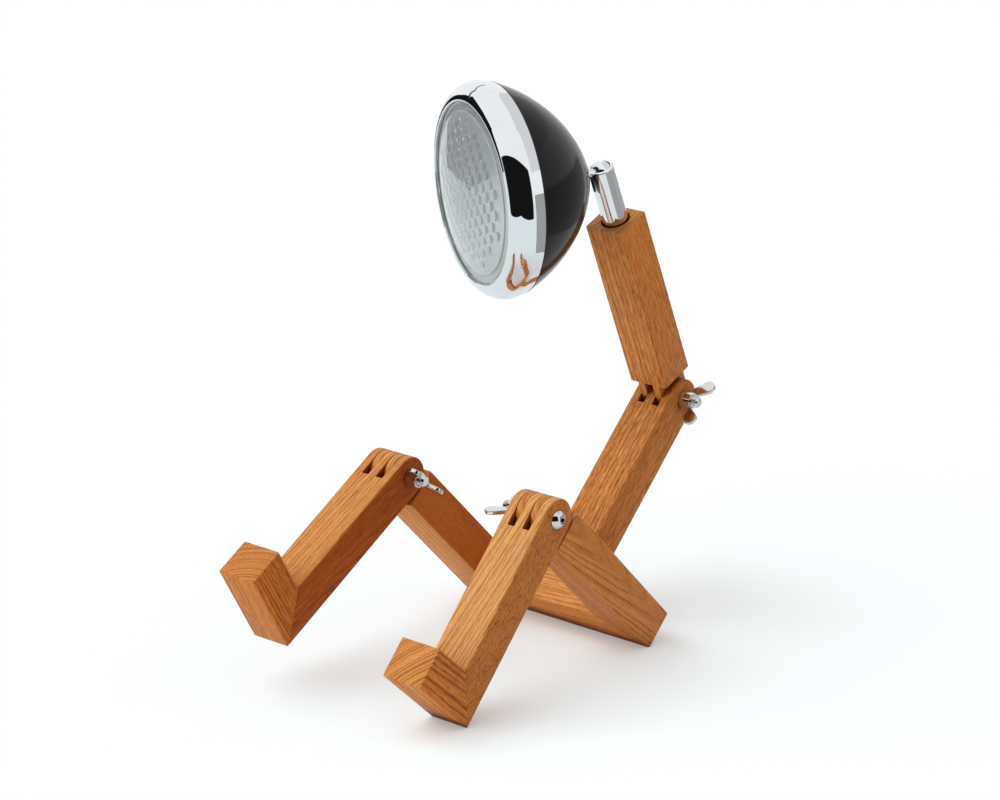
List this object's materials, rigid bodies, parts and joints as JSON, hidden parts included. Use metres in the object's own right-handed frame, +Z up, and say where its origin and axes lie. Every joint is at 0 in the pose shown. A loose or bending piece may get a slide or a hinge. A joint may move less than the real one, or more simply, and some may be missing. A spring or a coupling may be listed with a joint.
{
  "type": "robot shaped desk lamp",
  "caption": "Seated wooden figure lamp with wing-nut knees and waist, a chromed swivel post with ball joint and a round headlamp head.",
  "frame": {"origin": "middle of the narrow face at the crossbar's lower rear edge, which rests on the table", "axes": "+Z up, the figure faces -Y, its left hand side is +X"},
  "size_m": [0.1988, 0.4037, 0.4028],
  "materials": {
    "oiled_wood": "oiled, open grain",
    "dowel_wood": "plain",
    "chrome": "mirror polish",
    "steel": "plain zinc plated",
    "brass": "turned",
    "black_enamel": "gloss black",
    "rubber": "matte",
    "nylon": "matte",
    "clear_glass": "clear, pressed pillow pattern",
    "mirror_metal": "vapour bright",
    "sink_aluminium": "plain",
    "board_white": "solder mask",
    "opal_diffuser": "frosted",
    "button_black": "satin"
  },
  "bodies": {
    "seat": {"pelvis_crossbar": "oiled_wood", "thigh_left": "oiled_wood", "thigh_right": "oiled_wood", "pelvis_dowels": "dowel_wood", "lower_torso": "oiled_wood", "torso_dowels": "dowel_wood", "waist_bolt": "chrome"},
    "left_lower_leg": {"shin_left": "oiled_wood", "foot_left": "oiled_wood", "foot_dowels_left": "dowel_wood", "knee_bolt_left": "chrome"},
    "right_lower_leg": {"shin_right": "oiled_wood", "foot_right": "oiled_wood", "foot_dowels_right": "dowel_wood", "knee_bolt_right": "chrome"},
    "left_knee_nut": {"knee_wing_nut_left": "chrome"},
    "right_knee_nut": {"knee_wing_nut_right": "chrome"},
    "waist_nut": {"waist_wing_nut": "chrome"},
    "upper_body": {"upper_torso": "oiled_wood", "post_bush": "brass", "cord_gland": "rubber"},
    "neck_post": {"swivel_post": "chrome", "post_circlip": "steel", "ball_cup": "nylon", "disc_springs": "steel", "spring_plug": "steel"},
    "neck": {"neck_ball": "chrome"},
    "head": {"ball_stem": "chrome", "stem_nut_outer": "chrome", "stem_nut_inner": "steel", "head_shell": "black_enamel", "shell_gasket": "rubber", "bezel": "chrome", "lens": "clear_glass", "lens_gasket": "rubber", "reflector": "mirror_metal", "reflector_clips": "steel", "led_board": "board_white", "led_dome": "opal_diffuser", "heat_sink": "sink_aluminium", "dimmer_body": "chrome", "dimmer_nut": "steel"},
    "button": {"dimmer_button": "button_black"}
  },
  "joints": [
    {"name": "left_knee", "type": "hinge", "parent": "seat", "child": "left_lower_leg", "pos_m": [0.0683, -0.10444, 0.12495], "axis": [-1, 0, 0], "range_deg": [0, 92]},
    {"name": "right_knee", "type": "hinge", "parent": "seat", "child": "right_lower_leg", "pos_m": [-0.0683, -0.10444, 0.12495], "axis": [-1, 0, 0], "range_deg": [-17, 75]},
    {"name": "waist", "type": "hinge", "parent": "seat", "child": "upper_body", "pos_m": [0, 0.12339, 0.1439], "axis": [1, 0, 0], "range_deg": [-68, 26]},
    {"name": "neck_swivel", "type": "hinge", "parent": "upper_body", "child": "neck_post", "pos_m": [0, 0.05941, 0.29175], "axis": [0, -0.3971, 0.9178], "range_deg": [-165, 165]},
    {"name": "head_tilt", "type": "hinge", "parent": "neck_post", "child": "neck", "pos_m": [0, 0.04273, 0.33029], "axis": [-0.8894, 0.4195, 0.1815], "range_deg": [-20, 98]},
    {"name": "head_roll", "type": "hinge", "parent": "neck", "child": "head", "pos_m": [0, 0.04273, 0.33029], "axis": [-0.4364, -0.8974, -0.0643], "range_deg": [-90, 90]},
    {"name": "left_knee_nut_turn", "type": "hinge", "parent": "left_lower_leg", "child": "left_knee_nut", "pos_m": [0.0515, -0.10444, 0.12495], "axis": [-1, 0, 0], "continuous": true},
    {"name": "right_knee_nut_turn", "type": "hinge", "parent": "right_lower_leg", "child": "right_knee_nut", "pos_m": [-0.0515, -0.10444, 0.12495], "axis": [1, 0, 0], "continuous": true},
    {"name": "waist_nut_turn", "type": "hinge", "parent": "seat", "child": "waist_nut", "pos_m": [0.0168, 0.12339, 0.1439], "axis": [1, 0, 0], "continuous": true},
    {"name": "dimmer_press", "type": "slide", "parent": "head", "child": "button", "axis": [0.0863, -0.8155, -0.5723], "range_m": [0, 0.0015], "stiffness_N_per_m": 900, "springref_m": -0.001}
  ]
}
